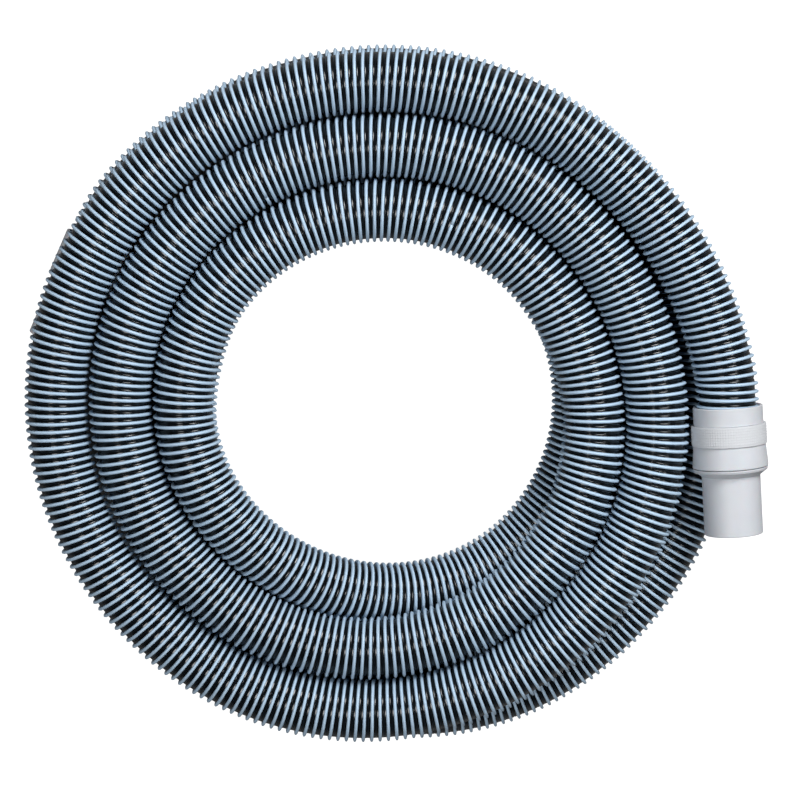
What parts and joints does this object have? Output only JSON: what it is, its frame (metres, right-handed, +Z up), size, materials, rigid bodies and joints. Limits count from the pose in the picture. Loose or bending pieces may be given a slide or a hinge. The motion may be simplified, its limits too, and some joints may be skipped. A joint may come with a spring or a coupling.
{
  "type": "vacuum hose",
  "caption": "Spiral-wound pool vacuum hose lying in a flat two-layer coil, with a swivel cuff on one end and a plain cuff on the other, for joining a vacuum head to suction.",
  "frame": {"origin": "middle of the coiled hose's box, on the floor it lies on", "axes": "+Z up; +X towards the side with the swivel cuff; the swivel cuff's mouth points towards -Y"},
  "size_m": [0.542, 0.5184, 0.1007],
  "materials": {
    "hose_eva": "glossy extruded EVA, near-black web with light steel-blue spiral beads",
    "cuff_shell": "satin injection-moulded polyethylene, pale cool grey",
    "cuff_tail": "satin injection-moulded polyethylene, pale cool grey",
    "grip_band": "finely pimpled soft overmould, off-white",
    "stop_ring": "moulded polyethylene",
    "seal_rubber": "smooth black rubber",
    "bush_acetal": "turned natural acetal"
  },
  "bodies": {
    "hose": {"hose_swivel_end": "hose_eva", "hose_upper_coil": "hose_eva", "hose_crossover": "hose_eva", "hose_lower_coil": "hose_eva", "hose_plain_end": "hose_eva", "swivel_collar": "cuff_shell", "grip_band": "grip_band", "hose_stop_ring": "stop_ring", "seal_washer": "seal_rubber", "split_bush": "bush_acetal", "plain_cuff": "cuff_shell"},
    "swivel": {"swivel_tail": "cuff_tail"}
  },
  "joints": [
    {"name": "cuff_swivel", "type": "hinge", "parent": "hose", "child": "swivel", "pos_m": [0.24491, -0.06508, 0.0734], "axis": [0.0628, -0.998, 0], "continuous": true}
  ]
}
